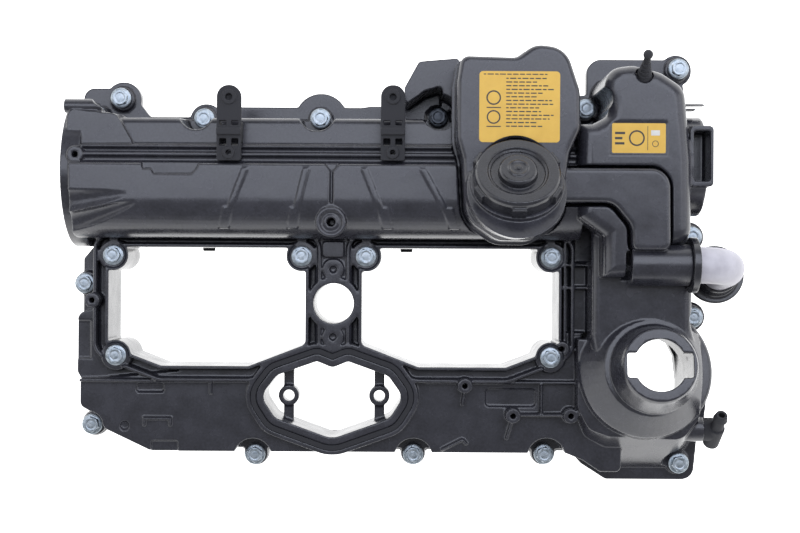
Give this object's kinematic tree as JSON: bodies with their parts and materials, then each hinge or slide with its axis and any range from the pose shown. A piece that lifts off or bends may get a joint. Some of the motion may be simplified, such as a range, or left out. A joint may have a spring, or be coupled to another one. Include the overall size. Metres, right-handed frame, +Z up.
{
  "type": "engine valve cover",
  "caption": "Black moulded valve cover of an inline engine with oil separator, coil windows, filler neck, breather pipe and captive bolts.",
  "frame": {"origin": "axis of the centre bore in the gasket plane under the cover", "axes": "+X along the engine towards the filler neck, +Y towards the camshaft hood, +Z up along the centre bore"},
  "size_m": [0.4865, 0.3108, 0.1367],
  "materials": {
    "moulded_nylon": "satin",
    "lid_nylon": "satin",
    "clip_nylon": "matte",
    "seal_rubber": "matte",
    "pale_plastic": "satin",
    "zinc_steel": "satin",
    "black_steel": "satin",
    "spring_steel": "satin",
    "yellow_sticker": "satin"
  },
  "bodies": {
    "root": {"cover_shell": "moulded_nylon", "separator_cover": "moulded_nylon", "separator_baffle": "moulded_nylon", "pcv_lid": "lid_nylon", "pcv_diaphragm": "seal_rubber", "pcv_spring": "spring_steel", "breather_collar": "lid_nylon", "breather_pipe": "pale_plastic", "breather_flange": "lid_nylon", "port_seal": "seal_rubber", "perimeter_bolts": "zinc_steel", "recess_bolt": "black_steel", "window_bolts": "zinc_steel", "perimeter_sleeves": "zinc_steel", "window_sleeves": "zinc_steel", "perimeter_gasket": "seal_rubber", "window_gasket_left": "seal_rubber", "window_gasket_right": "seal_rubber", "motor_gasket": "seal_rubber", "bore_seal": "seal_rubber", "harness_bracket_left": "clip_nylon", "harness_bracket_right": "clip_nylon", "ball_stud": "clip_nylon", "vacuum_fitting": "clip_nylon", "label_large": "yellow_sticker", "label_small": "yellow_sticker"},
    "valve": {"pcv_valve_plate": "lid_nylon"}
  },
  "joints": [
    {"name": "valve_stroke", "type": "slide", "parent": "root", "child": "valve", "axis": [0, 0.5878, 0.809], "range_m": [-0.002, 0], "deforming": ["pcv_spring", "pcv_diaphragm"]}
  ]
}
